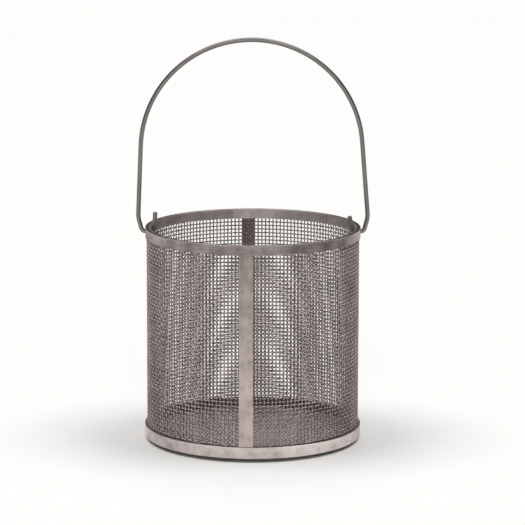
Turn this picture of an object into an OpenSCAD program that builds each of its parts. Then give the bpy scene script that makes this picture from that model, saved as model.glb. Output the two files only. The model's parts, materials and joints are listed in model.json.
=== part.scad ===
// Basket strainer: an open-topped drum of woven stainless wire cloth. Flat steel bands bind the
// cloth at the rim and the base, a strap covers each of its two seams, and a bent round-wire bail
// hooks through the rim. Millimetres, +Z up. The origin is at the centre of the base, on the surface
// that the basket stands on. The bail swings about the X axis.

/* [Basket] */
// Outside diameter of the wire cloth wall
wall_d = 198; // [120:1:320]
// Height from the base to the top of the rim
basket_h = 197; // [90:1:320]
// Thickness of one wire of the cloth
cloth_wire_d = 1.2; // [0.8:0.1:1.6]
// Gap between the two wall panels at each seam
seam_gap = 0.6; // [0.2:0.1:2]

/* [Rim] */
// Height of the two rim bands
rim_band_h = 9; // [8:0.5:16]
// Thickness of the flat strip that both rim bands and the seam straps are cut from
strip_t = 1; // [0.8:0.1:1.6]

/* [Base] */
// Height of the band around the base
base_band_h = 11; // [6:0.5:20]
// Thickness of the band around the base
base_band_t = 2; // [1:0.1:3]
// How far the angle ring's flange reaches in under the floor cloth
flange_w = 8; // [4:0.5:15]
// Thickness of that flange
flange_t = 1.2; // [0.8:0.1:2]
// How far the wall cloth's cut ends stay above the ground
cloth_lift = 0.6; // [0.2:0.1:2]

/* [Seam straps] */
// Width of each strap, measured around the wall
strap_w = 13; // [8:0.5:20]
// How far the front strap sits from the front centre line, in degrees towards -X
front_strap_turn = 3.5; // [-10:0.5:10]
// How far the back strap sits from the back centre line, in degrees towards -X
back_strap_turn = 2.5; // [-10:0.5:10]

/* [Bail] */
// Diameter of the bail's wire
bail_wire_d = 4.2; // [3:0.1:4.8]
// Height of the crown's centreline above the pivots
bail_h = 178.5; // [150:0.5:240]
// Inward lean of the leg on the -X side, in degrees
left_leg_lean = 2.3; // [0:0.1:6]
// Inward lean of the leg on the +X side, in degrees
right_leg_lean = 4.7; // [0:0.1:6]
// Slope of the shoulder beside each pivot, in degrees above level
shoulder_a = 75; // [40:1:80]
// Length of the straight stretch of that shoulder
shoulder_l = 6.4; // [1:0.1:12]
// Centreline radius of the bends at each pivot
pivot_bend_r = 4.5; // [4:0.1:7]
// Centreline radius of the bend between shoulder and leg
leg_bend_r = 25; // [8:0.5:30]
// How far the tip of the hooked tail on the -X side stands above the rim
left_tail_rise = 13.5; // [6:0.5:15]
// How far the tip of the hooked tail on the +X side stands above the rim
right_tail_rise = 10; // [6:0.5:15]
// Inward lean of the tail on the -X side, in degrees
left_tail_lean = 4; // [3:1:15]
// Inward lean of the tail on the +X side, in degrees
right_tail_lean = 11; // [3:1:15]
// Clearance all round the wire in its holes
pivot_clear = 0.4; // [0.3:0.05:0.6]

/* [Hidden] */
$fn = 128;

// Woven cloth is two wires thick where they cross.
cloth_t = 2 * cloth_wire_d;
// Small bevel that takes the sharp edge off the cut strip.
edge_bevel = 0.25;
// How far a cut runs past the surface that it goes through.
past = 1;

// Radii of the rings, from the cloth outwards and inwards.
cloth_r = wall_d / 2;
cloth_inner_r = cloth_r - cloth_t;
rim_r = cloth_r + strip_t;
rim_inner_r = cloth_inner_r - strip_t;
base_r = cloth_r + base_band_t;

// Angles of the two seams around the wall, from +X.
front_seam_a = -90 - front_strap_turn;
back_seam_a = 90 + back_strap_turn;
gap_half_a = seam_gap / 2 / cloth_r * 180 / PI;
strap_half_a = strap_w / 2 / cloth_r * 180 / PI;

// The pivots lie halfway up the rim bands. The bends at each pivot begin this far inside the two
// faces of the rim, so that the wire can't slide along its hole.
bend_inset = 0.5;
bail_r = bail_wire_d / 2;
// Each straight length is drawn a hair thinner than the bends, and runs on a little way into them.
straight_r = bail_r - 0.03;
lap = 0.3;
pivot_z = basket_h - rim_band_h / 2;
hole_r = bail_r + pivot_clear;
pivot_out = rim_r - bend_inset;
pivot_in = rim_inner_r + bend_inset;

// The bail's centreline up to its legs, as (x, z) points on its own side, from the pivot outwards.
pivot_bend_c = [pivot_out, pivot_z + pivot_bend_r];
shoulder_from = pivot_bend_c + pivot_bend_r * heading(shoulder_a - 90);
shoulder_to = shoulder_from + shoulder_l * heading(shoulder_a);
leg_bend_c = shoulder_to + leg_bend_r * heading(shoulder_a + 90);

// The crown is the circle that touches both legs and reaches crown_z. A leg touches it where the
// centre's reach towards the leg, plus the radius, equals the leg's own reach, so each leg gives
// one equation in the centre's x and z. With crown_z taken off, the two solve as follows.
crown_z = pivot_z + bail_h;
right_reach = leg_from(right_leg_lean) * heading(right_leg_lean) - crown_z;
left_reach = leg_from(left_leg_lean) * heading(left_leg_lean) - crown_z;
crown_c_z = -(right_reach * cos(left_leg_lean) + left_reach * cos(right_leg_lean))
    / ((1 - sin(right_leg_lean)) * cos(left_leg_lean) + (1 - sin(left_leg_lean)) * cos(right_leg_lean));
crown_c_x = (right_reach + (1 - sin(right_leg_lean)) * crown_c_z) / cos(right_leg_lean);
crown_r = crown_z - crown_c_z;

// Unit vector at an angle from +X.
function heading(a) = [cos(a), sin(a)];

// Where a leg begins, above its bend.
function leg_from(lean) = leg_bend_c + leg_bend_r * heading(lean);

// A ring about Z, or a sector of it, with a rectangular section.
module ring(inner_r, outer_r, low_z, high_z, from_a = 0, sweep_a = 360) {
    rotate([0, 0, from_a])
        rotate_extrude(angle = sweep_a)
            translate([inner_r, low_z])
                square([outer_r - inner_r, high_z - low_z]);
}

// A hoop of flat strip whose bare side, out or in, has bevelled edges.
module hoop(cloth_side_r, bare_side_r, low_z, high_z) {
    side = sign(bare_side_r - cloth_side_r);
    rotate_extrude()
        polygon([
            [cloth_side_r, low_z],
            [bare_side_r - side * edge_bevel, low_z],
            [bare_side_r, low_z + edge_bevel],
            [bare_side_r, high_z - edge_bevel],
            [bare_side_r - side * edge_bevel, high_z],
            [cloth_side_r, high_z]
        ]);
}

// The two holes that the bail turns in, on the X axis.
module pivot_holes() {
    for (side = [-1, 1])
        translate([side * (rim_inner_r - past), 0, pivot_z])
            rotate([0, side * 90, 0])
                cylinder(h = rim_r - rim_inner_r + 2 * past, r = hole_r);
}

// One half of the wall: woven cloth rolled to the wall's radius, from one seam to the other.
module wall_panel(from_a, to_a) {
    difference() {
        ring(cloth_inner_r, cloth_r, cloth_lift, basket_h, from_a + gap_half_a, to_a - from_a - 2 * gap_half_a);
        pivot_holes();
    }
}

module wall_panel_left() {
    color("#8f8884") wall_panel(back_seam_a, front_seam_a + 360);
}

module wall_panel_right() {
    color("#8f8884") wall_panel(front_seam_a, back_seam_a);
}

// The floor: a disc of the same cloth that drops inside the angle ring and lies on its flange.
module floor_mesh() {
    color("#7d7673")
        translate([0, 0, flange_t])
            cylinder(h = cloth_t, r = rim_inner_r);
}

module rim_outer_band() {
    color("#6f6865")
        difference() {
            hoop(cloth_r, rim_r, basket_h - rim_band_h, basket_h);
            pivot_holes();
        }
}

module rim_inner_band() {
    color("#8b8380")
        difference() {
            hoop(cloth_inner_r, rim_inner_r, basket_h - rim_band_h, basket_h);
            pivot_holes();
        }
}

module base_band() {
    color("#b5aeac") hoop(cloth_r, base_r, 0, base_band_h);
}

// An L-section ring inside the wall: its leg pinches the cloth against the base band, and its
// flange carries the floor.
module floor_angle_ring() {
    color("#9b9491") {
        ring(rim_inner_r - flange_w, cloth_inner_r, 0, flange_t);
        ring(rim_inner_r, cloth_inner_r, 0, base_band_h);
    }
}

// A strap over one seam, curved to the wall, from the base band up to the rim band.
module seam_strap(seam_a) {
    ring(cloth_r, cloth_r + strip_t, base_band_h, basket_h - rim_band_h, seam_a - strap_half_a, 2 * strap_half_a);
}

module front_seam_strap() {
    color("#aaa29f") seam_strap(front_seam_a);
}

module back_seam_strap() {
    color("#aaa29f") seam_strap(back_seam_a);
}

// A straight length of the bail's wire, drawn in the XY plane from a point along an angle.
module wire_straight(from, a, length, end_lap = lap) {
    translate(from)
        rotate([0, 0, a])
            translate([-lap, 0, 0])
                rotate([0, 90, 0])
                    cylinder(h = lap + length + end_lap, r = straight_r);
}

// A bend in the bail's wire, drawn in the XY plane about its centre.
module wire_bend(centre, bend_r, from_a, sweep_a) {
    translate(centre)
        rotate([0, 0, from_a])
            rotate_extrude(angle = sweep_a)
                translate([bend_r, 0])
                    circle(r = bail_r);
}

// From the pivot out, up the shoulder and along the leg to the crown, whose centre is at centre_x.
module bail_side(lean, centre_x) {
    leg_to = [centre_x, crown_c_z] + crown_r * heading(lean);
    wire_straight([pivot_in, pivot_z], 0, pivot_out - pivot_in);
    wire_bend(pivot_bend_c, pivot_bend_r, -90, shoulder_a);
    wire_straight(shoulder_from, shoulder_a, shoulder_l);
    wire_bend(leg_bend_c, leg_bend_r, shoulder_a - 90, 90 + lean - shoulder_a);
    wire_straight(leg_from(lean), 90 + lean, norm(leg_to - leg_from(lean)));
}

// The hooked tail: the wire turns up behind the rim and stops above it.
module bail_tail(lean, rise) {
    tail_from = [pivot_in, pivot_z + pivot_bend_r] - pivot_bend_r * heading(lean);
    tail_l = (basket_h + rise - tail_from[1]) / cos(lean);
    wire_bend([pivot_in, pivot_z + pivot_bend_r], pivot_bend_r, lean - 180, 90 - lean);
    wire_straight(tail_from, 90 + lean, tail_l, end_lap = 0);
}

// One wire from tail to tail, bent in the XZ plane.
module bail() {
    color("#8a8482")
        rotate([90, 0, 0]) {
            wire_bend([crown_c_x, crown_c_z], crown_r, right_leg_lean, 180 - left_leg_lean - right_leg_lean);
            bail_side(right_leg_lean, crown_c_x);
            bail_tail(right_tail_lean, right_tail_rise);
            mirror([1, 0, 0]) {
                bail_side(left_leg_lean, -crown_c_x);
                bail_tail(left_tail_lean, left_tail_rise);
            }
        }
}

wall_panel_left();
wall_panel_right();
floor_mesh();
rim_outer_band();
rim_inner_band();
base_band();
floor_angle_ring();
front_seam_strap();
back_seam_strap();
bail();
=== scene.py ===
# %% [markdown]
# # A basket strainer of woven wire cloth
#
# The real basket is an open drum, 198 mm across and 197 mm high, of plain-woven stainless wire
# cloth. Flat strips bind the cloth at the rim and the base, a strap covers each of its two seams,
# an angle ring holds the floor, and a bent round wire, the bail, swings in two holes in the rim.
#
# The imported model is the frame: it fixes every size, place and joint. The frame's solids are plain,
# so this script makes a detailed piece to stand for each of them: real crossing wires for the
# cloth, strips with rounded edges, spot welds and waviness, and a bail swept along its own bends.
# Blender works in metres, and the sizes below are written in millimetres times MM.

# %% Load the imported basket
import json
import math

import bpy
import numpy as np
from mathutils import Matrix, Vector


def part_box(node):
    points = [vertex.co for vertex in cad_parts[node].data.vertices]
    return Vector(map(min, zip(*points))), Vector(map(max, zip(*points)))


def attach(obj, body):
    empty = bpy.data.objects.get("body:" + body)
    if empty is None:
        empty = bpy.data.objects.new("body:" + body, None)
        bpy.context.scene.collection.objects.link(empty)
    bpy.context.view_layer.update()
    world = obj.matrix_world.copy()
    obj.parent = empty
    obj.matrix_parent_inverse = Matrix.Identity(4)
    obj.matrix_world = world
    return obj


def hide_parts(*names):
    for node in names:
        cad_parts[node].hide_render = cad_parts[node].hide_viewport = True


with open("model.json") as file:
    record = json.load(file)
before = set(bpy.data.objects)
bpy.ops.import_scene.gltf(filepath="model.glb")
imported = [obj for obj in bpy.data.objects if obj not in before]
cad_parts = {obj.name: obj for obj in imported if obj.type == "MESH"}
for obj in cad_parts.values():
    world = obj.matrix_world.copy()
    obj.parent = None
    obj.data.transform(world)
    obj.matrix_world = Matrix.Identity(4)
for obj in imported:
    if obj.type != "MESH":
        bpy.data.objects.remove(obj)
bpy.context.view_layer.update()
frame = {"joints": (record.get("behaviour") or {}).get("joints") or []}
MM = 0.001

# %% [markdown]
# ## The sizes that every piece shares
#
# Each size that the frame can give is read from it, so the looks can't drift away from the design:
# the box of a band gives its radius and both its edges, and the joint gives the pivots' height.
# What a box can't show, such as the bend radii of the bail, is written down beside its use.

# %% Read the shared sizes
wall_low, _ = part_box("wall_panel_left")
_, right_wall_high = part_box("wall_panel_right")
rim_low, rim_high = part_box("rim_outer_band")
_, inner_rim_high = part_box("rim_inner_band")
base_low, base_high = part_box("base_band")
floor_low, floor_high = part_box("floor_mesh")
_, ring_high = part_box("floor_angle_ring")
_, bail_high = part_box("bail")

CLOTH_R = right_wall_high.x
CLOTH_INNER_R = inner_rim_high.x
CLOTH_MID_R = (CLOTH_R + CLOTH_INNER_R) / 2
CLOTH_T = CLOTH_R - CLOTH_INNER_R
CLOTH_WIRE_R = CLOTH_T / 4
CLOTH_FOOT = wall_low.z
RIM_R = rim_high.x
RIM_TOP = rim_high.z
RIM_FOOT = rim_low.z
STRIP_T = RIM_R - CLOTH_R
RIM_INNER_R = CLOTH_INNER_R - STRIP_T
BASE_R = base_high.x
BASE_TOP = base_high.z
FLOOR_R = floor_high.x
BAIL_WIRE_R = bail_high.y
PIVOT_Z = frame["joints"][0]["pos_m"][2]
PIVOT_CLEAR = 0.4 * MM
HOLE_R = BAIL_WIRE_R + PIVOT_CLEAR
print("cloth wire is", round(2 * CLOTH_WIRE_R / MM, 2), "mm across")
print("bail wire is", round(2 * BAIL_WIRE_R / MM, 2), "mm across")

# %% [markdown]
# The two seams aren't exactly in front and behind, so their angles are read too. A strap's outer
# face lies on the rim's radius, so the sides of its box give the angles of its two edges.

# %% Find the two seams


def strap_edges(node):
    """The angles, from +X, of a seam strap's two edges."""
    low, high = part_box(node)
    side = math.copysign(1, low.y + high.y)
    return sorted((side * math.acos(high.x / RIM_R), side * math.acos(low.x / RIM_R)))


FRONT_STRAP = strap_edges("front_seam_strap")
BACK_STRAP = strap_edges("back_seam_strap")
FRONT_SEAM = sum(FRONT_STRAP) / 2
BACK_SEAM = sum(BACK_STRAP) / 2
print("front seam at", round(math.degrees(FRONT_SEAM), 1), "degrees")
print("back seam at", round(math.degrees(BACK_SEAM), 1), "degrees")

# %% [markdown]
# ## One way to make every skin
#
# Wire, band and strap are all the same kind of shape: a small closed outline carried along a path.
# Blender could bevel a curve or spin a profile, but a basket has about four hundred wires, and
# arrays of points make them in a second. So one function joins equal rings of points into a closed
# skin, and one makes a mesh from a list of skins. A hoop's last ring meets its first, and an open
# length gets a flat face at each end. A skin's own volume tells which way its faces look.

# %% Helpers for closed skins


def volume(points, faces):
    """The signed volume of a closed skin: positive when its faces look outwards."""
    total = 0.0
    for group in faces:
        corner = points[group]
        for k in range(1, group.shape[1] - 1):
            total += np.sum(corner[:, 0] * np.cross(corner[:, k], corner[:, k + 1])) / 6
    return total


def skin(rings, hoop=False):
    """A closed skin through rings of points, an array of stations by points round by 3."""
    stations, around = rings.shape[:2]
    spans = stations if hoop else stations - 1
    here = np.arange(spans)[:, None] * around
    there = (np.arange(spans)[:, None] + 1) % stations * around
    one = np.arange(around)
    two = np.roll(one, -1)
    quads = np.stack([here + one, here + two, there + two, there + one], axis=-1)
    faces = [quads.reshape(-1, 4)]
    if not hoop:
        faces += [one[::-1][None], one[None] + (stations - 1) * around]
    points = rings.reshape(-1, 3)
    if volume(points, faces) < 0:
        faces = [group[:, ::-1] for group in faces]
    return points, faces


def make_mesh(name, skins, crease):
    """One mesh of many skins. Edges sharper than crease, in degrees, stay sharp when shaded."""
    starts = np.cumsum([0] + [len(points) for points, _ in skins])
    points = np.concatenate([points for points, _ in skins])
    groups = [group + start for (_, faces), start in zip(skins, starts) for group in faces]
    corners = np.concatenate([group.ravel() for group in groups])
    sizes = np.concatenate([np.full(len(group), group.shape[1]) for group in groups])
    mesh = bpy.data.meshes.new(name)
    mesh.vertices.add(len(points))
    mesh.vertices.foreach_set("co", points.astype(np.float32).ravel())
    mesh.loops.add(len(corners))
    mesh.loops.foreach_set("vertex_index", corners.astype(np.int32))
    mesh.polygons.add(len(sizes))
    mesh.polygons.foreach_set("loop_start", (np.cumsum(sizes) - sizes).astype(np.int32))
    mesh.update(calc_edges=True)
    mesh.shade_smooth()
    mesh.set_sharp_from_angle(angle=math.radians(crease))
    return mesh


square = np.array([[0, 0, 0], [1, 0, 0], [1, 1, 0], [0, 1, 0]], float)
block = skin(np.stack([square, square + [0, 0, 1]]))
print("the skin of a unit block holds", round(volume(*block), 6))

# %% [markdown]
# A finish needs to know things about each point that its place alone doesn't tell, such as how near
# a weld it is. A vertex group could hold them, but a named attribute is plainer and takes any
# number. The last helper makes a mesh into a piece: it rides on a body of the frame, it stands for
# one of the frame's solids, and it is given its finish.

# %% Helpers for marks and pieces


def mark(mesh, name, values):
    """Stores one number per point, which a material can read."""
    attribute = mesh.attributes.new(name, "FLOAT", "POINT")
    attribute.data.foreach_set("value", values.astype(np.float32))


def points_of(mesh):
    """The mesh's points as an array."""
    found = np.empty(len(mesh.vertices) * 3, np.float32)
    mesh.vertices.foreach_get("co", found)
    return found.reshape(-1, 3).astype(float)


def add_piece(name, mesh, material, body, stands_for):
    """Puts a finished mesh in the scene as a piece that rides on a body and stands for a node."""
    piece = bpy.data.objects.new(name, mesh)
    bpy.context.scene.collection.objects.link(piece)
    mesh.materials.append(material)
    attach(piece, body)
    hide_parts(stands_for)
    print(name, "has", len(mesh.loops) - 2 * len(mesh.polygons), "triangles")


# %% [markdown]
# ## Colours and nodes
#
# Steel's colour is written as people read it, as an sRGB hex value, and one function turns it to
# the linear numbers that Blender's shaders work with. One more function adds a node with its
# settings and links, so that each material below reads as a recipe.

# %% Helpers for colours and nodes


def linear(hex_colour):
    """An sRGB hex colour as linear red, green, blue and a full alpha."""
    parts = [int(hex_colour[i : i + 2], 16) / 255 for i in (1, 3, 5)]
    return [c / 12.92 if c <= 0.04045 else ((c + 0.055) / 1.055) ** 2.4 for c in parts] + [1.0]


def add_node(tree, kind, sockets=None, **settings):
    """Adds a node. sockets gives an input, by name or number, its value or what it's fed from."""
    made = tree.nodes.new(kind)
    for key, value in settings.items():
        setattr(made, key, value)
    for key, value in (sockets or {}).items():
        if isinstance(value, bpy.types.NodeSocket):
            tree.links.new(value, made.inputs[key])
        else:
            made.inputs[key].default_value = value
    return made


def new_material(name):
    """An empty material and its node tree."""
    material = bpy.data.materials.new(name)
    material.use_nodes = True
    material.node_tree.nodes.clear()
    return material, material.node_tree


print("#8f8884 in linear numbers is", [round(c, 3) for c in linear("#8f8884")[:3]])

# %% [markdown]
# ## Finish: drawn stainless wire
#
# Both the cloth and the bail are 304 stainless steel, drawn cold through dies. Drawing leaves a
# soft grey shine with fine lines along the wire, much duller than polish, because the lubricant is
# burnt in. Woven cloth isn't all one tone: each wire comes off its own bobbin, and the knuckles that
# stand proud are rubbed brighter. The hollows where wires cross are darkened with painted shade.
#
# A picture of cloth could be wrapped round a drum, but it would have no depth where the wall is
# seen edge on. With real wires the material only has to be steel: the meshes carry a tone for each
# wire and a measure of how proud each point stands. The shader adds those to the patches of film
# and the drawing lines, and the sum picks a colour between dull and bright. A dull place is
# rougher too. Real drawing lines are a few hundredths of a millimetre wide. They are drawn 0.25 mm
# wide or more here, because finer ones wouldn't show.
#
# A colour mix has its factor at input 0 and its two colours at inputs 6 and 7.

# %% The drawn wire finish
# How many times longer than wide a drawing line is, and how much the lines count in the colour.
WIRE_LINE_RUN = 25
WIRE_LINE_WEIGHT = 0.35
FILM_PATCH = 24 * MM
FILM_WEIGHT = 0.9
WIRE_DARKER = 0.15
# From the hollows, darkened with painted shade where wires cross, to the knuckles, rubbed brighter.
HOLLOW_SHADE_TO_KNUCKLE_WEAR = {"From Min": 0.25, "From Max": 0.95, "To Min": -0.25, "To Max": 0.35}
WIRE_DULL_ROUGHER = 0.12
BRIGHT_SMOOTHER = 0.06


def drawn_wire(name, bright, dull, roughness, line_mm, depth_mm):
    """Drawn steel wire. The lines are stretched along the wire by its own lay coordinates."""
    material, tree = new_material(name)
    tone = add_node(tree, "ShaderNodeAttribute", attribute_name="tone").outputs["Fac"]
    proud = add_node(tree, "ShaderNodeAttribute", attribute_name="proud").outputs["Fac"]
    lay = add_node(tree, "ShaderNodeAttribute", attribute_name="lay").outputs["Vector"]
    place = add_node(tree, "ShaderNodeTexCoord").outputs["Object"]
    fine = 1 / (line_mm * MM)
    stretched = add_node(
        tree,
        "ShaderNodeVectorMath",
        {0: lay, 1: (fine, fine, fine / WIRE_LINE_RUN)},
        operation="MULTIPLY",
    ).outputs[0]
    lines = add_node(
        tree,
        "ShaderNodeTexNoise",
        {"Vector": stretched, "Scale": 1.0, "Detail": 3.0, "Roughness": 0.6},
    ).outputs["Fac"]
    film = add_node(
        tree, "ShaderNodeTexNoise", {"Vector": place, "Scale": 1 / FILM_PATCH, "Detail": 4.0}
    ).outputs["Fac"]
    # Painted shade in the hollows where wires cross, and rubbed brightness on the knuckles.
    wear_and_painted_light = add_node(
        tree, "ShaderNodeMapRange", {"Value": proud, **HOLLOW_SHADE_TO_KNUCKLE_WEAR}
    ).outputs[0]
    shade = add_node(tree, "ShaderNodeMath", {0: wear_and_painted_light, 1: tone}, operation="ADD").outputs[0]
    cloudy = add_node(
        tree, "ShaderNodeMath", {0: film, 1: FILM_WEIGHT, 2: shade}, operation="MULTIPLY_ADD"
    ).outputs[0]
    lined = add_node(
        tree, "ShaderNodeMath", {0: lines, 1: WIRE_LINE_WEIGHT, 2: cloudy}, operation="MULTIPLY_ADD"
    ).outputs[0]
    level = add_node(
        tree, "ShaderNodeMath", {0: lined, 1: WIRE_DARKER}, operation="SUBTRACT", use_clamp=True
    ).outputs[0]
    colour = add_node(
        tree, "ShaderNodeMix", {0: level, 6: linear(dull), 7: linear(bright)}, data_type="RGBA"
    ).outputs[2]
    rough = add_node(
        tree,
        "ShaderNodeMapRange",
        {
            "Value": level,
            "To Min": roughness + WIRE_DULL_ROUGHER,
            "To Max": roughness - BRIGHT_SMOOTHER,
        },
    ).outputs[0]
    bump = add_node(
        tree, "ShaderNodeBump", {"Height": lines, "Strength": 0.5, "Distance": depth_mm * MM}
    ).outputs[0]
    steel = add_node(
        tree,
        "ShaderNodeBsdfPrincipled",
        {"Base Color": colour, "Metallic": 1.0, "Roughness": rough, "Normal": bump},
    )
    add_node(tree, "ShaderNodeOutputMaterial", {"Surface": steel.outputs[0]})
    return material


# The wall's wire is a warm, even grey with a broad dull shine, a little brighter at the knuckles.
CLOTH_WIRE = drawn_wire("drawn_stainless_cloth_wire", "#cec1be", "#827673", 0.42, 0.25, 0.01)
# The floor's wire is the same steel painted paler: painted light, for cloth lying in the drum's
# shade.
LIT_FLOOR_WIRE = drawn_wire("drawn_stainless_floor_wire", "#e2d7d4", "#aa9e9b", 0.42, 0.25, 0.01)
# The bail's is thicker, from another coil: darker, less warm, and with a narrower shine.
BAIL_WIRE = drawn_wire("drawn_stainless_bail_wire", "#999594", "#686463", 0.38, 0.35, 0.02)
print("made", CLOTH_WIRE.name, LIT_FLOOR_WIRE.name, "and", BAIL_WIRE.name)

# %% [markdown]
# ## Finish: rolled stainless strip
#
# The bands, straps and angle ring are cut from cold-rolled 304 strip. Rolling and a light brushing
# leave very fine lines along the strip, and a reflection smeared across them. Handling clouds it in
# patches, the edges that hands and shelves touch are worn bright, and every spot weld leaves a
# dull, slightly brown ring of heat tint. Each mesh also carries a painted reflection: the strip is
# painted brighter at one place than at another, in a slow drift round a hoop and up a strap.
#
# The lines are noise squeezed across the strip and stretched along it. On a hoop the fine
# direction is up and down, so plain object coordinates do: they hardly change along the hoop, and
# change fast across it. On an upright strap the fine direction is sideways. True brushing is about
# 0.1 mm wide; here it is drawn up to 0.6 mm wide, because finer lines wouldn't show.

# %% The rolled strip finish
# Rolling lines are longer for their width than drawing lines, and count for more.
STRIP_LINE_RUN = 40
STRIP_LINE_WEIGHT = 0.7
STRIP_LINE_DEPTH = 0.02 * MM
CLOUD_PATCH = 16 * MM
DULL_TO_BRIGHT = {"From Min": 0.55, "From Max": 1.15}
EDGE_WEAR = 0.45
WORN_EDGE = "#c9c3bf"
STRIP_DULL_ROUGHER = 0.1
WELD_ROUGHER = 0.2


def rolled_strip(name, bright, dull, tint, roughness, line_mm, upright=False):
    """Brushed steel strip, its lines along a hoop, or up and down on an upright strap."""
    material, tree = new_material(name)
    place = add_node(tree, "ShaderNodeTexCoord").outputs["Object"]
    weld = add_node(tree, "ShaderNodeAttribute", attribute_name="weld").outputs["Fac"]
    edge = add_node(tree, "ShaderNodeAttribute", attribute_name="edge").outputs["Fac"]
    polish = add_node(tree, "ShaderNodeAttribute", attribute_name="polish").outputs["Fac"]
    fine = 1 / (line_mm * MM)
    long = fine / STRIP_LINE_RUN
    stretch = (fine, fine, long) if upright else (long, long, fine)
    stretched = add_node(
        tree, "ShaderNodeVectorMath", {0: place, 1: stretch}, operation="MULTIPLY"
    ).outputs[0]
    lines = add_node(
        tree,
        "ShaderNodeTexNoise",
        {"Vector": stretched, "Scale": 1.0, "Detail": 4.0, "Roughness": 0.65},
    ).outputs["Fac"]
    clouds = add_node(
        tree,
        "ShaderNodeTexNoise",
        {"Vector": place, "Scale": 1 / CLOUD_PATCH, "Detail": 5.0, "Roughness": 0.55},
    ).outputs["Fac"]
    # The handling clouds plus the painted reflection that each mesh carries.
    clouds_and_painted_reflection = add_node(tree, "ShaderNodeMath", {0: clouds, 1: polish}, operation="ADD").outputs[0]
    both = add_node(
        tree, "ShaderNodeMath", {0: lines, 1: STRIP_LINE_WEIGHT, 2: clouds_and_painted_reflection}, operation="MULTIPLY_ADD"
    ).outputs[0]
    level = add_node(tree, "ShaderNodeMapRange", {"Value": both, **DULL_TO_BRIGHT}).outputs[0]
    plain = add_node(
        tree, "ShaderNodeMix", {0: level, 6: linear(dull), 7: linear(bright)}, data_type="RGBA"
    ).outputs[2]
    worn = add_node(
        tree, "ShaderNodeMath", {0: edge, 1: EDGE_WEAR}, operation="MULTIPLY"
    ).outputs[0]
    wear_and_painted_light = add_node(
        tree, "ShaderNodeMix", {0: worn, 6: plain, 7: linear(WORN_EDGE)}, data_type="RGBA"
    ).outputs[2]
    tinted = add_node(
        tree, "ShaderNodeMix", {0: weld, 6: wear_and_painted_light, 7: linear(tint)}, data_type="RGBA"
    ).outputs[2]
    smooth = add_node(
        tree,
        "ShaderNodeMapRange",
        {
            "Value": level,
            "To Min": roughness + STRIP_DULL_ROUGHER,
            "To Max": roughness - BRIGHT_SMOOTHER,
        },
    ).outputs[0]
    rough = add_node(
        tree, "ShaderNodeMath", {0: weld, 1: WELD_ROUGHER, 2: smooth}, operation="MULTIPLY_ADD"
    ).outputs[0]
    bump = add_node(
        tree, "ShaderNodeBump", {"Height": lines, "Strength": 0.6, "Distance": STRIP_LINE_DEPTH}
    ).outputs[0]
    steel = add_node(
        tree,
        "ShaderNodeBsdfPrincipled",
        {"Base Color": tinted, "Metallic": 1.0, "Roughness": rough, "Normal": bump},
    )
    add_node(tree, "ShaderNodeOutputMaterial", {"Surface": steel.outputs[0]})
    return material


# The rim's outside is the darkest copy of the strip: painted shade, darker than the other bands.
SHADED_RIM_STRIP = rolled_strip("rolled_stainless_rim_strip", "#b1a6a3", "#746a67", "#5f5654", 0.42, 0.5)
# Its inside is a paler copy: painted light, brightening the shaded inside of the rim.
LIT_INNER_STRIP = rolled_strip(
    "rolled_stainless_inner_rim_strip", "#dbd1ce", "#a99e98", "#8c817d", 0.42, 0.5
)
# The base is the palest copy, a painted reflection of the white floor, with a tighter shine.
LIT_BASE_STRIP = rolled_strip(
    "rolled_stainless_base_strip", "#f0e6e3", "#aea29f", "#857976", 0.34, 0.6
)
# The straps' colour, between the two, is painted light too, and their lines stand upright.
SEAM_STRIP = rolled_strip(
    "rolled_stainless_seam_strip", "#bfb2af", "#8f837f", "#827672", 0.4, 0.6, upright=True
)
# The angle ring is a dark, dull copy: painted shade, for the shade at the foot of the drum.
SHADED_RING_STRIP = rolled_strip("rolled_stainless_ring_strip", "#9c918e", "#625956", "#5f5654", 0.45, 0.5)
strips = (SHADED_RIM_STRIP, LIT_INNER_STRIP, LIT_BASE_STRIP, SEAM_STRIP, SHADED_RING_STRIP)
print("made", ", ".join(strip.name for strip in strips))

# %% [markdown]
# ## The wire cloth
#
# Plain weave is the simplest cloth there is: each wire goes over one crossing wire and under the
# next, and its neighbour does the opposite. A wire's centre line is close to a cosine whose half
# wave is one pitch and whose height is half a wire, so that two crossing wires just touch.
#
# The cloth has a wire about every 3.6 mm. Each panel's count is rounded to a whole number of
# wires, so its pitch closes exactly from seam to seam. Uprights and rounds are separate pieces:
# real cloth has both sets, and it keeps each mesh to a size that other programs open easily. A
# five-sided wire shaded smooth reads as round at this size, and its corners are pushed out until
# its outline is as long as the true circle's, so the cloth lets through as much light as it should.
# The wires that would cross a pivot hole are cut short around it, as a drill leaves them.

# %% Helpers for one wire
PITCH = 3.6 * MM
STEPS_PER_PITCH = 4
CLOTH_SIDES = 5
HOLE_KEEP = HOLE_R + CLOTH_WIRE_R


def wire(path, side, radius, sides):
    """A round wire along a path of points. side is the one direction square to all of it."""
    run = np.gradient(path, axis=0)
    run /= np.linalg.norm(run, axis=1)[:, None]
    up = np.cross(run, side)
    turn = (np.arange(sides) * 2 * math.pi / sides)[None, :, None]
    reach = np.broadcast_to(radius, len(path))[:, None, None]
    reach = reach * math.pi / (sides * math.sin(math.pi / sides))
    spokes = np.cos(turn) * up[:, None] + np.sin(turn) * np.asarray(side)
    return skin(path[:, None] + reach * spokes)


def stations(low, high, first, step):
    """Places from low to high, with one at each whole step from first, so each crossing has one."""
    from_step = math.ceil((low - first) / step)
    to_step = math.floor((high - first) / step)
    places = first + step * np.arange(from_step, to_step + 1)
    margin = step / 8
    inside = places[(places > low + margin) & (places < high - margin)]
    return np.concatenate([[low], inside, [high]])


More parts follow.
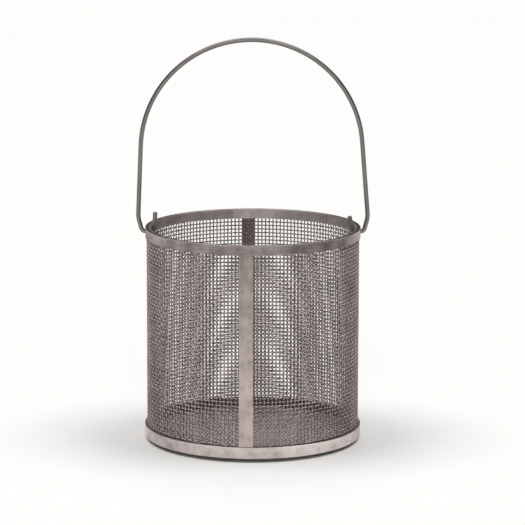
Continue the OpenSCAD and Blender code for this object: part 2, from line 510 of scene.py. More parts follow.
def parts_round_hole(low, high, hole, miss, keep):
    """The stretches of low to high that stay, where a wire passes a hole at distance miss."""
    if abs(miss) >= keep:
        return [(low, high)]
    half = math.sqrt(keep**2 - miss**2)
    return [(low, hole - half), (hole + half, high)]


print("a cloth wire has", CLOTH_SIDES, "sides and", STEPS_PER_PITCH, "steps between crossings")

# %% [markdown]
# The drawing lines run along each wire, so the finish needs coordinates that follow it: two across
# the wire and one along it. Texture coordinates could hold two of the three, but noise in space
# wants all of them, so they are a vector attribute named lay. Each wire starts at its own place
# along it, or all of them would have the same lines. Each wire's tone is drawn from its bobbin.

# %% Helpers for many wires
LAY_STEP = 0.7
WIRE_CREASE = 80
STEEL_DENSITY = 7930
bobbins = np.random.default_rng(seed=7)


def lay_of(points, path, side):
    """Coordinates that follow a wire: across it twice, and along it, for the drawing lines."""
    steps = np.concatenate([[0], np.cumsum(np.linalg.norm(np.diff(path, axis=0), axis=1))])
    around = points.reshape(len(path), -1, 3) - path[:, None]
    run = np.gradient(path, axis=0)
    run /= np.linalg.norm(run, axis=1)[:, None]
    up = np.cross(run, side)
    first = np.sum(around * up[:, None], axis=-1)
    second = around @ np.asarray(side)
    along = np.broadcast_to(steps[:, None], first.shape)
    return np.stack([first, second, along], axis=-1).reshape(-1, 3)


def woven_mesh(name, wires, sides, proud_of, tone_spread):
    """One mesh of many wires, each a path, its side direction and its radius, with its marks."""
    skins = [wire(path, side, radius, sides) for path, side, radius in wires]
    mesh = make_mesh(name, skins, crease=WIRE_CREASE)
    tones = [np.full(len(points), bobbins.normal(0, tone_spread)) for points, _ in skins]
    lays = []
    for i, ((points, _), (path, side, _)) in enumerate(zip(skins, wires)):
        lays.append(lay_of(points, path, side) + [0, 0, LAY_STEP * i])
    mark(mesh, "tone", np.concatenate(tones))
    mark(mesh, "proud", proud_of(points_of(mesh)))
    lay = mesh.attributes.new("lay", "FLOAT_VECTOR", "POINT")
    lay.data.foreach_set("vector", np.concatenate(lays).astype(np.float32).ravel())
    weight = STEEL_DENSITY * sum(volume(*each) for each in skins)
    print(name, "has", len(wires), "wires, and its steel weighs", round(weight, 3), "kg")
    return mesh


print("wires start", LAY_STEP, "m apart in their own lay, so no two share their lines")

# %% [markdown]
# ### The wall
#
# The cloth is bent round the drum, so the crimp moves each wire in and out along the drum's radius.
# An upright and a round wire that cross must lean opposite ways, and the sign flips with each row
# and each column. The two panels end a hair short of each other, under the straps.

# %% Helpers for the wall's two sets of wires
CRIMP = CLOTH_WIRE_R
CLOTH_H = RIM_TOP - CLOTH_FOOT
ROWS = round(CLOTH_H / PITCH)
ROW_PITCH = CLOTH_H / ROWS
FIRST_ROW = CLOTH_FOOT + ROW_PITCH / 2


def wall_uprights(from_a, columns, column_a, hole_a):
    """The upright wires of one panel."""
    wires = []
    for column in range(columns):
        a = from_a + (column + 0.5) * column_a
        out = np.array([math.cos(a), math.sin(a), 0])
        miss = CLOTH_MID_R * math.sin(a - hole_a) if math.cos(a - hole_a) > 0 else math.inf
        for low, high in parts_round_hole(CLOTH_FOOT, RIM_TOP, PIVOT_Z, miss, HOLE_KEEP):
            z = stations(low, high, FIRST_ROW, ROW_PITCH / STEPS_PER_PITCH)
            bend = (-1) ** column * CRIMP * np.cos(math.pi * (z - FIRST_ROW) / ROW_PITCH)
            path = (CLOTH_MID_R + bend)[:, None] * out + z[:, None] * np.array([0, 0, 1])
            wires.append((path, (-math.sin(a), math.cos(a), 0), CLOTH_WIRE_R))
    return wires


def wall_rounds(from_a, to_a, columns, column_a, hole_a):
    """The wires of one panel that run round the drum."""
    wires = []
    first = from_a + column_a / 2
    keep_a = HOLE_KEEP / CLOTH_MID_R
    for row in range(ROWS):
        z = FIRST_ROW + row * ROW_PITCH
        miss_a = (z - PIVOT_Z) / CLOTH_MID_R
        for low, high in parts_round_hole(from_a, to_a, hole_a, miss_a, keep_a):
            a = stations(low, high, first, column_a / STEPS_PER_PITCH)
            bend = -((-1) ** row) * CRIMP * np.cos(math.pi * (a - first) / column_a)
            reach = CLOTH_MID_R + bend
            path = np.stack([reach * np.cos(a), reach * np.sin(a), np.full(len(a), z)], axis=-1)
            wires.append((path, (0, 0, 1), CLOTH_WIRE_R))
    return wires


def wall_proud(points):
    """How far a point stands proud of the wall's middle, from 0 to 1."""
    return np.abs(np.hypot(points[:, 0], points[:, 1]) - CLOTH_MID_R) / (CLOTH_T / 2)


print("the wall has", ROWS, "rows,", round(ROW_PITCH / MM, 3), "mm apart")

# %% Weave the two wall panels
SEAM_GAP = 0.6 * MM
TONE_SPREAD = 0.1


def weave_panel(side_name, node, from_seam, to_seam, hole_a):
    """Both sets of wires of one wall panel, between two seams."""
    half_gap = SEAM_GAP / 2 / CLOTH_R
    from_a, to_a = from_seam + half_gap, to_seam - half_gap
    columns = round((to_a - from_a) * CLOTH_MID_R / PITCH)
    column_a = (to_a - from_a) / columns
    sets = {
        "uprights": wall_uprights(from_a, columns, column_a, hole_a),
        "rounds": wall_rounds(from_a, to_a, columns, column_a, hole_a),
    }
    for set_name, wires in sets.items():
        name = side_name + "_wall_" + set_name
        mesh = woven_mesh(name, wires, CLOTH_SIDES, wall_proud, TONE_SPREAD)
        add_piece(name, mesh, CLOTH_WIRE, "basket", node)


weave_panel("right", "wall_panel_right", FRONT_SEAM, BACK_SEAM, 0)
weave_panel("left", "wall_panel_left", BACK_SEAM, FRONT_SEAM + 2 * math.pi, math.pi)

# %% [markdown]
# ### The floor
#
# The floor is a disc of the same cloth, laid flat on the angle ring's flange. Its wires run along
# X and along Y, and each is cut where it meets the ring. They are woven just as the wall's are, but
# the crimp moves them up and down.

# %% Weave the floor
FLOOR_MID = (floor_low.z + floor_high.z) / 2
FLOOR_WIRES = round(2 * FLOOR_R / PITCH)
FLOOR_PITCH = 2 * FLOOR_R / FLOOR_WIRES
FLOOR_FIRST = -FLOOR_R + FLOOR_PITCH / 2


def floor_wires(along, across):
    """The floor wires that run along one axis, 0 for X or 1 for Y."""
    wires = []
    for row in range(FLOOR_WIRES):
        place = FLOOR_FIRST + row * FLOOR_PITCH
        half = math.sqrt(FLOOR_R**2 - place**2) - CLOTH_WIRE_R / 2
        if half > 0:
            s = stations(-half, half, FLOOR_FIRST, FLOOR_PITCH / STEPS_PER_PITCH)
            lean = (-1) ** (row + along)
            wave = np.cos(math.pi * (s - FLOOR_FIRST) / FLOOR_PITCH)
            path = np.zeros((len(s), 3))
            path[:, along] = s
            path[:, across] = place
            path[:, 2] = FLOOR_MID + lean * CRIMP * wave
            side = np.zeros(3)
            side[across] = 1
            wires.append((path, tuple(side), CLOTH_WIRE_R))
    return wires


def floor_proud(points):
    """How far a point stands proud of the floor's middle, from 0 to 1."""
    return np.abs(points[:, 2] - FLOOR_MID) / (CLOTH_T / 2)


for name, along, across in (("floor_wires_across", 0, 1), ("floor_wires_deep", 1, 0)):
    mesh = woven_mesh(name, floor_wires(along, across), CLOTH_SIDES, floor_proud, TONE_SPREAD)
    add_piece(name, mesh, LIT_FLOOR_WIRE, "basket", "floor_mesh")

# %% [markdown]
# ## The strips' section
#
# Each band is a length of flat strip, rolled to a hoop and spot-welded through the cloth. It is a
# section carried round a circle. A bevel modifier could round a plain hoop's edges, but the bare
# face must also have rows close enough together to hold a dent 3 mm wide. So the section is drawn
# from its corners, each with a radius and a number of rows for the side that follows it.

# %% Draw a section


def section(corners, arc_steps=3):
    """An outline with round corners, each given as x, y, radius and rows of the side after it."""
    outline = []
    spots = np.array([corner[:2] for corner in corners], float)
    for i, (x, y, radius, rows) in enumerate(corners):
        here = np.array([x, y])
        before = spots[i - 1] - here
        after = spots[(i + 1) % len(spots)] - here
        before /= np.linalg.norm(before)
        after /= np.linalg.norm(after)
        centre = here + radius * (before + after)
        turn = np.linspace(0, math.pi / 2, arc_steps + 1) if radius else np.array([0.0])
        outline += [centre - radius * (after * math.cos(t) + before * math.sin(t)) for t in turn]
        next_radius = corners[(i + 1) % len(corners)][2]
        side_from = here + radius * after
        side_to = spots[(i + 1) % len(spots)] - next_radius * after
        outline += [side_from + (side_to - side_from) * k / rows for k in range(1, rows)]
    return np.array(outline)


trial = section([(0, 0, 0, 1), (4, 0, 1, 1), (4, 2, 1, 1), (0, 2, 0, 1)])
print("a trial section with two round corners has", len(trial), "points")

# %% [markdown]
# ## Welds, waves and joints
#
# Up close a band isn't perfect. It waves a little between welds, and each weld's electrode leaves a
# shallow round dent with a slight lip. Bump could fake the dents, but real ones catch the light
# from every side, and the same distance that shapes a dent says where its heat tint goes. Where a
# hoop's two ends meet, they are butt-welded and ground, which leaves a faint, dull ridge.

# %% Helpers for welds, waves and joints
WELD_R = 1.3 * MM
WELD_DEPTH = 0.12 * MM
DENT_SLOPE = 0.5 * MM
LIP_W = 0.35 * MM
LIP_PART = 0.25
TINT_W = 0.9 * MM
TINT_RING = 0.22
TINT_MIDDLE = 0.12
WAVE = 0.07 * MM
WAVES_ROUND = (7, 11, 19, 26, 37)
# The strength of the painted reflection round a hoop, and its numbers of waves round it.
PAINTED_REFLECTION = 0.08
DRIFTS_ROUND = (1, 2, 3, 5)
JOINT_W = 1.1 * MM


def weld_shape(distance):
    """The height of the strip's face near a weld: a flat dent, with a low lip around it."""
    dent = np.clip((WELD_R - distance) / DENT_SLOPE, 0, 1)
    lip = np.exp(-(((distance - WELD_R - LIP_W) / LIP_W) ** 2))
    return LIP_PART * WELD_DEPTH * lip - WELD_DEPTH * dent


def weld_tint(distance):
    """How strong the heat tint is near a weld: a dark ring, and a paler middle."""
    ring = np.exp(-(((distance - WELD_R) / TINT_W) ** 2))
    return TINT_RING * ring + TINT_MIDDLE * np.clip(1 - distance / WELD_R, 0, 1)


def nearest_weld(along, up, welds, full_turn=math.inf):
    """Distance from each point of a face to the weld nearest to it."""
    best = np.full(along.shape, math.inf)
    for weld_along, weld_up in welds:
        gap = np.abs(along - weld_along)
        if full_turn < math.inf:
            gap = np.minimum(gap, full_turn - gap)
        best = np.minimum(best, np.hypot(gap, up - weld_up))
    return best


def waviness(along, seed):
    """The slow in-and-out wander of a rolled strip, from sines with whole numbers of waves."""
    phases = np.random.default_rng(seed).uniform(0, 2 * math.pi, len(WAVES_ROUND))
    sines = zip(WAVES_ROUND, phases)
    return WAVE * sum(np.sin(n * along + p) / (1 + k) for k, (n, p) in enumerate(sines))


def painted_reflection_round(angles, seed):
    """A painted reflection: how much brighter or duller the strip is painted round a hoop."""
    phases = np.random.default_rng(seed).uniform(0, 2 * math.pi, len(DRIFTS_ROUND))
    return PAINTED_REFLECTION * sum(np.sin(n * angles + p) for n, p in zip(DRIFTS_ROUND, phases))


def near_joint(angles, joint_a, radius):
    """From 1 on the butt joint where the hoop's ends meet, down to 0 beside it."""
    gap = np.abs((angles - joint_a + math.pi) % (2 * math.pi) - math.pi) * radius
    return np.exp(-((gap / JOINT_W) ** 2))


print("a spot weld is", round(2 * WELD_R / MM, 1), "mm wide")
print("and", round(WELD_DEPTH / MM, 2), "mm deep")

# %% [markdown]
# ### The pivot holes
#
# Both rim bands have a hole at each pivot, drilled through after the basket was welded. A Boolean
# modifier cuts them with a long round bar, and is then applied. A ring of hand-placed faces would
# be the other way, but the exact solver leaves clean edges on a curved strip.

# %% Helper for the pivot holes
DRILL_SIDES = 48
DRILL_CREASE = 40
DRILL_REACH = 1.2 * BASE_R
STRIP_CREASE = 35


def cut_pivot_holes(mesh):
    """The same mesh with both pivot holes cut through it along X."""
    line = np.array([[-DRILL_REACH, 0, PIVOT_Z], [DRILL_REACH, 0, PIVOT_Z]])
    turn = np.linspace(0, 2 * math.pi, DRILL_SIDES, endpoint=False)
    circle = HOLE_R * np.stack([np.zeros(DRILL_SIDES), np.cos(turn), np.sin(turn)], axis=-1)
    bar = make_mesh("drill", [skin(line[:, None] + circle)], crease=DRILL_CREASE)
    drill = bpy.data.objects.new("drill", bar)
    band = bpy.data.objects.new("band", mesh)
    for made in (drill, band):
        bpy.context.scene.collection.objects.link(made)
    cut = band.modifiers.new("pivot holes", "BOOLEAN")
    cut.operation = "DIFFERENCE"
    cut.solver = "EXACT"
    cut.object = drill
    bpy.context.view_layer.update()
    drilled = band.evaluated_get(bpy.context.evaluated_depsgraph_get())
    finished = bpy.data.meshes.new_from_object(drilled)
    for made in (drill, band):
        bpy.data.objects.remove(made)
    finished.set_sharp_from_angle(angle=math.radians(STRIP_CREASE))
    return finished


print("each pivot hole is", round(2 * HOLE_R / MM, 1), "mm across")

# %% [markdown]
# ### The three hoops
#
# The rim has one band outside the cloth and one inside it, and the base has one outside. Each hoop
# starts as plain rings of the section. The points of its bare face, on the side away from the
# cloth, are then moved by the welds, the waves and the joint. The marks for the finish are worked
# out from the finished points, because the Boolean gives a drilled band new ones.

# %% Helper for a hoop
COLUMNS = 900
FACE_ROW = 0.75 * MM
EDGE_R = 0.3 * MM
JOINT_H = 0.05 * MM
JOINT_TINT = 0.35
HAIR = 0.001 * MM
FACE_DEPTH = 0.5 * MM


def hoop_mesh(name, bare_r, cloth_r, low, high, low_edge_r, welds, joint_a, seed, holes=False):
    """A band whose bare face, on the side away from the cloth, has welds and waves."""
    rows = round((high - low) / FACE_ROW)
    outline = section(
        [
            (cloth_r, low, 0, 1),
            (bare_r, low, low_edge_r, rows),
            (bare_r, high, EDGE_R, 1),
            (cloth_r, high, 0, 1),
        ]
    )
    side = math.copysign(1, bare_r - cloth_r)
    full_turn = 2 * math.pi * bare_r
    angles = np.linspace(0, 2 * math.pi, COLUMNS, endpoint=False)
    reach = np.broadcast_to(outline[:, 0], (COLUMNS, len(outline))).copy()
    height = np.broadcast_to(outline[:, 1], reach.shape)
    turned = np.broadcast_to(angles[:, None], reach.shape)
    bare = np.abs(outline[:, 0] - bare_r) < HAIR
    distance = nearest_weld(turned * bare_r, height, welds, full_turn)
    ridge = JOINT_H * near_joint(turned, joint_a, bare_r)
    relief = weld_shape(distance) - WAVE - JOINT_H + waviness(turned, seed) / 2 + ridge
    reach[:, bare] += side * relief[:, bare]
    rings = np.stack([reach * np.cos(turned), reach * np.sin(turned), height], axis=-1)
    mesh = make_mesh(name, [skin(rings, hoop=True)], crease=STRIP_CREASE)
    if holes:
        mesh = cut_pivot_holes(mesh)
        mesh.name = name
    points = points_of(mesh)
    depth = np.abs(np.hypot(points[:, 0], points[:, 1]) - bare_r)
    on_face = (depth < FACE_DEPTH).astype(float)
    around = np.arctan2(points[:, 1], points[:, 0]) % (2 * math.pi) * bare_r
    tint = weld_tint(nearest_weld(around, points[:, 2], welds, full_turn))
    tint = np.maximum(tint, JOINT_TINT * near_joint(around / bare_r, joint_a, bare_r))
    from_edge = np.minimum(points[:, 2] - low, high - points[:, 2])
    mark(mesh, "weld", tint * on_face)
    # Painted reflection: brighter and darker stretches round the hoop.
    mark(mesh, "polish", painted_reflection_round(around / bare_r, seed))
    mark(mesh, "edge", np.clip(1 - from_edge / (2 * EDGE_R), 0, 1) * on_face)
    return mesh


print("a hoop has", COLUMNS, "sections round it")

# %% [markdown]
# The welds were spaced by eye, so each one is a little off its place, and none is on a pivot hole.
# The base band is thicker than the rim's, and stands proud of the cloth, because the basket seats
# on it; its brighter colour is a painted reflection of the white floor. Its lower edge is rolled over
# to a larger radius, so that it slides without scratching.

# %% Make the three hoops
ROLLED_EDGE_R = 1.4 * MM
HOLE_MARGIN = 6 * MM
RIM_WELDS = 26
RIM_WANDER = 1.2 * MM
BASE_WELDS = 30
BASE_WANDER = 1.5 * MM
RIM_MID = (RIM_TOP + RIM_FOOT) / 2
BASE_MID = BASE_TOP / 2
PIVOTS = (0, math.pi)


def spaced_welds(count, radius, height, wander, seed, clear=()):
    """Welds round a hoop, clear of some angles. They wander round it, and a third as far up."""
    dice = np.random.default_rng(seed)
    welds = []
    for k in range(count):
        a = (k + 0.5) / count * 2 * math.pi
        along = a * radius + dice.normal(0, wander)
        up = height + dice.normal(0, wander / 3)
        gaps = [abs(math.remainder(along / radius - c, 2 * math.pi)) * radius for c in clear]
        if all(gap > HOLE_MARGIN for gap in gaps):
            welds.append((along, up))
    return welds


rim_welds = spaced_welds(RIM_WELDS, RIM_R, RIM_MID, RIM_WANDER, seed=3, clear=PIVOTS)
inner_welds = spaced_welds(RIM_WELDS, RIM_INNER_R, RIM_MID, RIM_WANDER, seed=4, clear=PIVOTS)
base_welds = spaced_welds(BASE_WELDS, BASE_R, BASE_MID, BASE_WANDER, seed=5)

# Each hoop's seed sets its waves, and where its painted reflection is brighter or darker.
mesh = hoop_mesh(
    "rim_band_outside",
    RIM_R,
    CLOTH_R,
    RIM_FOOT,
    RIM_TOP,
    EDGE_R,
    rim_welds,
    joint_a=math.radians(68),
    seed=10482,
    holes=True,
)
add_piece("rim_band_outside", mesh, SHADED_RIM_STRIP, "basket", "rim_outer_band")
mesh = hoop_mesh(
    "rim_band_inside",
    RIM_INNER_R,
    CLOTH_INNER_R,
    RIM_FOOT,
    RIM_TOP,
    EDGE_R,
    inner_welds,
    joint_a=math.radians(-62),
    seed=12,
    holes=True,
)
add_piece("rim_band_inside", mesh, LIT_INNER_STRIP, "basket", "rim_inner_band")
mesh = hoop_mesh(
    "base_hoop",
    BASE_R,
    CLOTH_R,
    base_low.z,
    BASE_TOP,
    ROLLED_EDGE_R,
    base_welds,
    joint_a=math.radians(74),
    seed=3055,
)
add_piece("base_hoop", mesh, LIT_BASE_STRIP, "basket", "base_band")
print(len(rim_welds), "rim welds and", len(base_welds), "base welds")

# %% [markdown]
# ### The angle ring
#
# Inside the base is an L-section ring, bent from strip. Its upright leg pinches the cloth against
# the base band, and its flange carries the floor. Bent strip has a round outer corner and a small
# inner one, so its section gets both, and it is carried round the same circle as the bands. It
# has no welds of its own to show, so its marks are all nought.

# %% Make the angle ring
FLANGE_W = 8 * MM
FLANGE_INNER = RIM_INNER_R - FLANGE_W
OUTER_BEND_R = 0.9 * MM
RING_COLUMNS = 480
RING_SEED = 14
# Each corner is its radius from Z and its height, its own radius, and the rows of its next side.
ring_outline = section(
    [
        (FLANGE_INNER, base_low.z, EDGE_R, 4),
        (CLOTH_INNER_R, base_low.z, OUTER_BEND_R, 6),
        (CLOTH_INNER_R, ring_high.z, EDGE_R, 1),
        (RIM_INNER_R, ring_high.z, EDGE_R, 6),
        (RIM_INNER_R, floor_low.z, 0, 3),
        (FLANGE_INNER, floor_low.z, EDGE_R, 1),
    ]
)
turns = np.linspace(0, 2 * math.pi, RING_COLUMNS, endpoint=False)[:, None]
reach = ring_outline[:, 0] + waviness(turns, RING_SEED) / 2
height = np.broadcast_to(ring_outline[:, 1], reach.shape)
rings = np.stack([reach * np.cos(turns), reach * np.sin(turns), height], axis=-1)
mesh = make_mesh("floor_angle", [skin(rings, hoop=True)], crease=STRIP_CREASE)
for name in ("weld", "edge", "polish"):
    mark(mesh, name, np.zeros(len(mesh.vertices)))
add_piece("floor_angle", mesh, SHADED_RING_STRIP, "basket", "floor_angle_ring")

# %% [markdown]
# ## The weld beads
#
# Each strap is welded to the bands at its two ends, with a short bead run across it by hand. A bead
# is laid in small puddles, so it is rippled, and it thins where the torch starts and stops. It is
# a wire whose radius changes from step to step, half sunk in the strip.

# %% Helper for a weld bead
BEAD_R = 0.7 * MM
BEAD_SIDES = 10
BEAD_STEPS = 60
BEAD_SINK = 0.3 * MM
RIPPLE = 0.15
RIPPLE_STEPS = 4
THIN_STEPS = 5
THINNEST = 0.35


def weld_bead(edges, height):
    """A small rippled bead across a strap's end, thinner towards its own two ends."""
    step = np.arange(BEAD_STEPS)
    a = np.linspace(edges[0], edges[1], BEAD_STEPS)
    ripple = 1 - RIPPLE + RIPPLE * np.abs(np.sin(step * math.pi / RIPPLE_STEPS))
    taper = np.clip(np.minimum(step, step[::-1]) / THIN_STEPS, THINNEST, 1)
    reach = CLOTH_R + STRIP_T - BEAD_SINK
    path = np.stack([reach * np.cos(a), reach * np.sin(a), np.full(BEAD_STEPS, height)], axis=-1)
    return wire(path, (0, 0, 1), BEAD_R * ripple * taper, BEAD_SIDES)


print("a bead is", round(2 * BEAD_R / MM, 1), "mm across at its thickest")

# %% [markdown]
# ## The seam straps
#
# Where the two panels meet, a strap covers the cut ends from the base band up to the rim band. It
# is strip again, so it is the same section turned on its side: carried up the wall instead of
# round it. Two rows of spot welds hold it, one to each panel. Its colour is painted brighter at the
# foot and duller at the top: a painted reflection of the white floor below.

# %% Make the straps
STRAP_ROW = 0.8 * MM
STRAP_WELDS = 8
# How much the painted reflection brightens a strap's foot and darkens its top.
STRAP_PAINTED_REFLECTION = 0.5
UP_WANDER = 1.2 * MM
SIDE_WANDER = 0.3 * MM
BEAD_INSET = 0.2 * MM
BEAD_TINT = 0.3
FACE_PART = 0.6
FACE_ROWS = 16
BACK_ROWS = 8


def strap_welds(width, tall, seed):
    """Two rows of welds up a strap, as places across it and up it."""
    dice = np.random.default_rng(seed)
    welds = []
    for k in range(STRAP_WELDS):
        for side in (-1, 1):
            up = BASE_TOP + (k + 0.5) / STRAP_WELDS * tall + dice.normal(0, UP_WANDER)
            welds.append((side * width / 4 + dice.normal(0, SIDE_WANDER), up))
    return welds


def strap_mesh(name, edges, seed):
    """A strap between two angles, curved to the wall, with welds on its bare face."""
    width = (edges[1] - edges[0]) * CLOTH_R
    tall = RIM_FOOT - BASE_TOP
    outline = section(
        [
            (0, -width / 2, 0, 1),
            (STRIP_T, -width / 2, EDGE_R, FACE_ROWS),
            (STRIP_T, width / 2, EDGE_R, 1),
            (0, width / 2, 0, BACK_ROWS),
        ]
    )
    heights = np.linspace(BASE_TOP, RIM_FOOT, round(tall / STRAP_ROW) + 1)
    lift = np.broadcast_to(outline[:, 0], (len(heights), len(outline))).copy()
    across = np.broadcast_to(outline[:, 1], lift.shape)
    height = np.broadcast_to(heights[:, None], lift.shape)
    bare = np.abs(outline[:, 0] - STRIP_T) < HAIR
    distance = nearest_weld(across, height, strap_welds(width, tall, seed))
    relief = weld_shape(distance) - WAVE + waviness(height / BASE_R, seed) / 2
    lift[:, bare] += relief[:, bare]
    turned = sum(edges) / 2 + across / CLOTH_R
    reach = CLOTH_R + lift
    rings = np.stack([reach * np.cos(turned), reach * np.sin(turned), height], axis=-1)
    beads = [weld_bead(edges, up) for up in (BASE_TOP + BEAD_INSET, RIM_FOOT - BEAD_INSET)]
    mesh = make_mesh(name, [skin(rings)] + beads, crease=STRIP_CREASE)
    on_beads = np.ones(len(mesh.vertices) - height.size)
    on_face = (lift > FACE_PART * STRIP_T).astype(float)
    tint = weld_tint(distance) * on_face
    # Painted reflection: brighter at the foot and duller at the top, for the white floor below.
    polish = STRAP_PAINTED_REFLECTION * (0.5 - (height - BASE_TOP) / tall)
    worn = np.clip(1 - (width / 2 - np.abs(across)) / (2 * EDGE_R), 0, 1) * on_face
    mark(mesh, "weld", np.concatenate([tint.ravel(), BEAD_TINT * on_beads]))
    mark(mesh, "polish", np.concatenate([polish.ravel(), 0 * on_beads]))
    mark(mesh, "edge", np.concatenate([worn.ravel(), 0 * on_beads]))
    return mesh


mesh = strap_mesh("front_strap", FRONT_STRAP, seed=21)
add_piece("front_strap", mesh, SEAM_STRIP, "basket", "front_seam_strap")
mesh = strap_mesh("back_strap", BACK_STRAP, seed=22)
add_piece("back_strap", mesh, SEAM_STRIP, "basket", "back_seam_strap")

# %% [markdown]
# ## The bail
#
# The bail is one length of 4.2 mm wire. From the tip of a tail it comes down inside the rim, turns
# out through its hole, climbs a short shoulder, bends upright in a wide bend and leans in to the
# crown. Then it does the same on the other side. It was bent by hand, so its two legs lean a
# little differently, and its two tails differ in lean and in height.
#
# A curve object with a bevel would do, but the bends are exact arcs in the frame, so the path is
# built from the same arcs and straights, and a round section is carried along it. Each side is
# worked out as if it were the right one, as x and z, and the left is then turned over.

# %% Draw one side of the bail
PIVOT_BEND_R = 4.5 * MM
LEG_BEND_R = 25 * MM
SHOULDER_L = 6.4 * MM
SHOULDER_A = math.radians(75)
LEG_LEANS = {"right": math.radians(4.7), "left": math.radians(2.3)}
TAIL_LEANS = {"right": math.radians(11), "left": math.radians(4)}
TAIL_RISES = {"right": 10 * MM, "left": 13.5 * MM}
TAIL_STEPS = 12
BEND_INSET = 0.5 * MM
TIGHT_STEP = math.radians(8)
BEND_STEP = math.radians(4)
UPRIGHT = math.pi / 2
PIVOT_OUT = RIM_R - BEND_INSET
PIVOT_IN = RIM_INNER_R + BEND_INSET


def heading(a):
    """The unit vector at an angle in the bail's plane."""
    return np.array([math.cos(a), math.sin(a)])


def arc(centre, radius, from_a, sweep, step):
    """Points along an arc, in the bail's plane."""
    count = max(2, round(abs(sweep) / step) + 1)
    turns = [from_a + sweep * k / (count - 1) for k in range(count)]
    return [np.asarray(centre) + radius * heading(a) for a in turns]


def bail_side(side):
    """The centre line of one side, from the tip of its tail to the start of its leg."""
    tail_lean = TAIL_LEANS[side]
    tail_centre = np.array([PIVOT_IN, PIVOT_Z + PIVOT_BEND_R])
    tail_from = tail_centre - PIVOT_BEND_R * heading(tail_lean)
    tail_l = (RIM_TOP + TAIL_RISES[side] - tail_from[1]) / math.cos(tail_lean)
    tip = tail_from + tail_l * heading(UPRIGHT + tail_lean)
    tail = [tip + (tail_from - tip) * k / TAIL_STEPS for k in range(TAIL_STEPS)]
    hook = arc(tail_centre, PIVOT_BEND_R, math.pi + tail_lean, UPRIGHT - tail_lean, TIGHT_STEP)
    pivot_centre = np.array([PIVOT_OUT, PIVOT_Z + PIVOT_BEND_R])
    pivot = arc(pivot_centre, PIVOT_BEND_R, -UPRIGHT, SHOULDER_A, TIGHT_STEP)
    shoulder_to = pivot[-1] + SHOULDER_L * heading(SHOULDER_A)
    leg_centre = shoulder_to + LEG_BEND_R * heading(SHOULDER_A + UPRIGHT)
    leg_sweep = UPRIGHT + LEG_LEANS[side] - SHOULDER_A
    leg = arc(leg_centre, LEG_BEND_R, SHOULDER_A - UPRIGHT, leg_sweep, BEND_STEP)
    return tail + hook + pivot + leg


right = bail_side("right")
left = bail_side("left")
print("the legs start", round((right[-1][0] + left[-1][0]) / MM, 1), "mm apart")

# %% [markdown]
# ### The crown
#
# The crown is one arc that runs into both legs without a corner. Where a leg touches it, the
# centre's reach towards the leg, plus the radius, equals the leg's own reach. The crown's top is
# at a known height, so its radius is that height less the centre's. Each leg then gives one
# equation in the centre's x and z, and two equations have one answer.

# %% Find the crown and join the path
LEG_STEPS = 24
CROWN_STEP = math.radians(1.5)
CROWN_Z = bail_high.z - BAIL_WIRE_R
OVER = np.array([-1, 1])
right_lean = heading(LEG_LEANS["right"])
left_lean = heading(LEG_LEANS["left"])
reaches = [right[-1] @ right_lean - CROWN_Z, left[-1] @ left_lean - CROWN_Z]
touches = np.array([right_lean - [0, 1], left_lean * OVER - [0, 1]])
crown_centre = np.linalg.solve(touches, reaches)
crown_r = CROWN_Z - crown_centre[1]


def leg_line(start, end):
    """Points along a leg, between its two ends."""
    return [start + (end - start) * k / LEG_STEPS for k in range(1, LEG_STEPS)]


crown_sweep = math.pi - LEG_LEANS["right"] - LEG_LEANS["left"]
crown = arc(crown_centre, crown_r, LEG_LEANS["right"], crown_sweep, CROWN_STEP)
left_over = [point * OVER for point in left[::-1]]
right_leg = leg_line(right[-1], crown_centre + crown_r * right_lean)
left_leg = leg_line(crown_centre + crown_r * left_lean * OVER, left_over[0])
flat = np.array(right + right_leg + crown + left_leg + left_over)
path = np.stack([flat[:, 0], np.zeros(len(flat)), flat[:, 1]], axis=-1)
print("the crown's radius is", round(crown_r / MM, 1), "mm")

# %% [markdown]
# ### The bail's wire
#
# Each tip is rounded by shrinking the last few rings, as a file or a tumbling drum leaves it. The
# bail is thick enough for its outline to be seen, so it has many more sides than a cloth wire. It
# has no knuckles, so it counts as equally proud all over.

# %% Make the bail
TIP_R = 0.8 * MM
TIP_RINGS = 6
BAIL_SIDES = 28
BAIL_PROUD = 0.6
TIP_CREASE = 50


def unit(vector):
    """The same direction, one long."""
    return vector / np.linalg.norm(vector)


dome = np.linspace(0, math.pi / 2, TIP_RINGS)[1:]
start_run = unit(path[0] - path[1])
end_run = unit(path[-1] - path[-2])
start_tip = path[0] - start_run * TIP_R + start_run * TIP_R * np.sin(dome)[::-1, None]
end_tip = path[-1] - end_run * TIP_R + end_run * TIP_R * np.sin(dome)[:, None]
tip_radii = BAIL_WIRE_R - TIP_R + TIP_R * np.cos(dome)
radii = np.concatenate([tip_radii[::-1], np.full(len(path) - 2, BAIL_WIRE_R), tip_radii])
path = np.concatenate([start_tip, path[1:-1], end_tip])
bail_wires = [(path, (0, 1, 0), radii)]
mesh = woven_mesh("bail_wire", bail_wires, BAIL_SIDES, lambda p: np.full(len(p), BAIL_PROUD), 0.0)
mesh.set_sharp_from_angle(angle=math.radians(TIP_CREASE))
add_piece("bail_wire", mesh, BAIL_WIRE, "handle", "bail")
bail_l = float(np.linalg.norm(np.diff(path, axis=0), axis=1).sum())
print("the bail's wire is", round(bail_l, 3), "m long")

# %% [markdown]
# ## The studio floor
#
# The basket stands on a plain matt white board that runs far back, so that the view never reaches
# its end. A real basket touches its bench at only a few places, and a dark line of shadow shows
# under the rest of its foot. The board lies 3 mm low to leave that line.

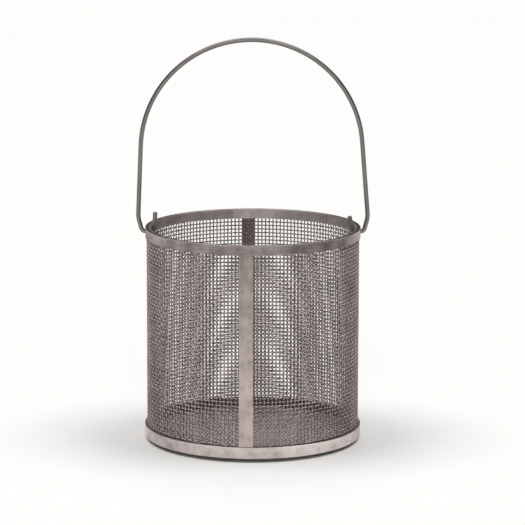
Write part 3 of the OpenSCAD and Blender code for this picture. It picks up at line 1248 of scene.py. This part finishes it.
# %% Lay the floor
FLOOR_SIZE = 30.0
FLOOR_DROP = 3 * MM
half = FLOOR_SIZE / 2
corners = [(x * half, y * half, -FLOOR_DROP) for x, y in ((-1, -1), (1, -1), (1, 1), (-1, 1))]
board_mesh = bpy.data.meshes.new("studio_floor")
board_mesh.from_pydata(corners, [], [(0, 1, 2, 3)])
studio_floor = bpy.data.objects.new("studio_floor", board_mesh)
bpy.context.scene.collection.objects.link(studio_floor)

# Matt board scatters the light evenly, and shows no shine at all.
board, tree = new_material("matt_white_board")
face = add_node(
    tree, "ShaderNodeBsdfPrincipled", {"Base Color": linear("#f6f5f3"), "Roughness": 0.9}
)
add_node(tree, "ShaderNodeOutputMaterial", {"Surface": face.outputs[0]})
board_mesh.materials.append(board)
print("the floor lies", round(FLOOR_DROP / MM, 1), "mm below the basket's base")

# %% [markdown]
# ## The light
#
# Studio softboxes give wide, soft light. Area lamps would do, but they fade across so wide a floor.
# A sun with a wide angle is as soft and lights the whole floor evenly. The two strong ones stand
# to the left and the right, and throw a soft grey wing to each side of the base. Two weaker ones,
# high behind and low in front, light the cloth's far side and the bare faces of the strips. The
# world adds only a dim fill, which is what the steel's upper sides reflect.

# %% Set the light
WORLD_STRENGTH = 0.07
# Each sun's direction round the basket and height above level, its width and its strength.
SUNS = {
    "sun_left": (180, 67, 34, 1.36),
    "sun_right": (0, 67, 34, 1.36),
    "sun_behind": (90, 66, 38, 0.62),
    "sun_in_front": (270, 18, 40, 0.62),
}
world = bpy.data.worlds.new("studio")
world.use_nodes = True
world.node_tree.nodes["Background"].inputs["Color"].default_value = linear("#ffffff")
world.node_tree.nodes["Background"].inputs["Strength"].default_value = WORLD_STRENGTH
bpy.context.scene.world = world

for name, (azimuth, height, width, power) in SUNS.items():
    sun = bpy.data.lights.new(name, "SUN")
    sun.energy = power
    sun.angle = math.radians(width)
    lamp = bpy.data.objects.new(name, sun)
    bpy.context.scene.collection.objects.link(lamp)
    a, up = math.radians(azimuth), math.radians(height)
    from_there = Vector((math.cos(a) * math.cos(up), math.sin(a) * math.cos(up), math.sin(up)))
    lamp.rotation_euler = from_there.to_track_quat("Z", "Y").to_euler()
bpy.context.scene.view_settings.view_transform = "Standard"
print("lit by", ", ".join(SUNS))

# %% [markdown]
# ## The camera
#
# The camera stands well back with a long lens, looks a little down into the drum, and is rolled by
# a hair. It aims at a point above the drum's middle, to take in the whole bail. A track-to
# constraint could point it, but it couldn't roll it, so its axes are worked out here.

# %% Place the camera
ELEVATION = math.radians(12.06)
ROLL = math.radians(0.14)
DISTANCE = 2.779
LENS = 203.8
FAR_END = 100
DRUM_MIDDLE = Vector((0, 0, 99 * MM))
AIM_RIGHT = 9 * MM
AIM_UP = 62.9 * MM
back = Vector((0, -math.cos(ELEVATION), math.sin(ELEVATION)))
across = Vector((1, 0, 0))
eye = DRUM_MIDDLE + DISTANCE * back
aim = DRUM_MIDDLE + AIM_RIGHT * across + AIM_UP * back.cross(across)
forward = (aim - eye).normalized()
level = forward.cross(Vector((0, 0, 1))).normalized()
upright = level.cross(forward)
tilted = math.cos(ROLL) * level + math.sin(ROLL) * upright
raised = math.cos(ROLL) * upright - math.sin(ROLL) * level
axes = Matrix((tilted, raised, -forward)).transposed().to_4x4()
camera = bpy.data.objects.new("camera", bpy.data.cameras.new("camera"))
camera.data.lens = LENS
camera.data.clip_end = FAR_END
camera.matrix_world = Matrix.Translation(eye) @ axes
bpy.context.scene.collection.objects.link(camera)
bpy.context.scene.camera = camera
print("the camera is", round(eye.length, 2), "m away")
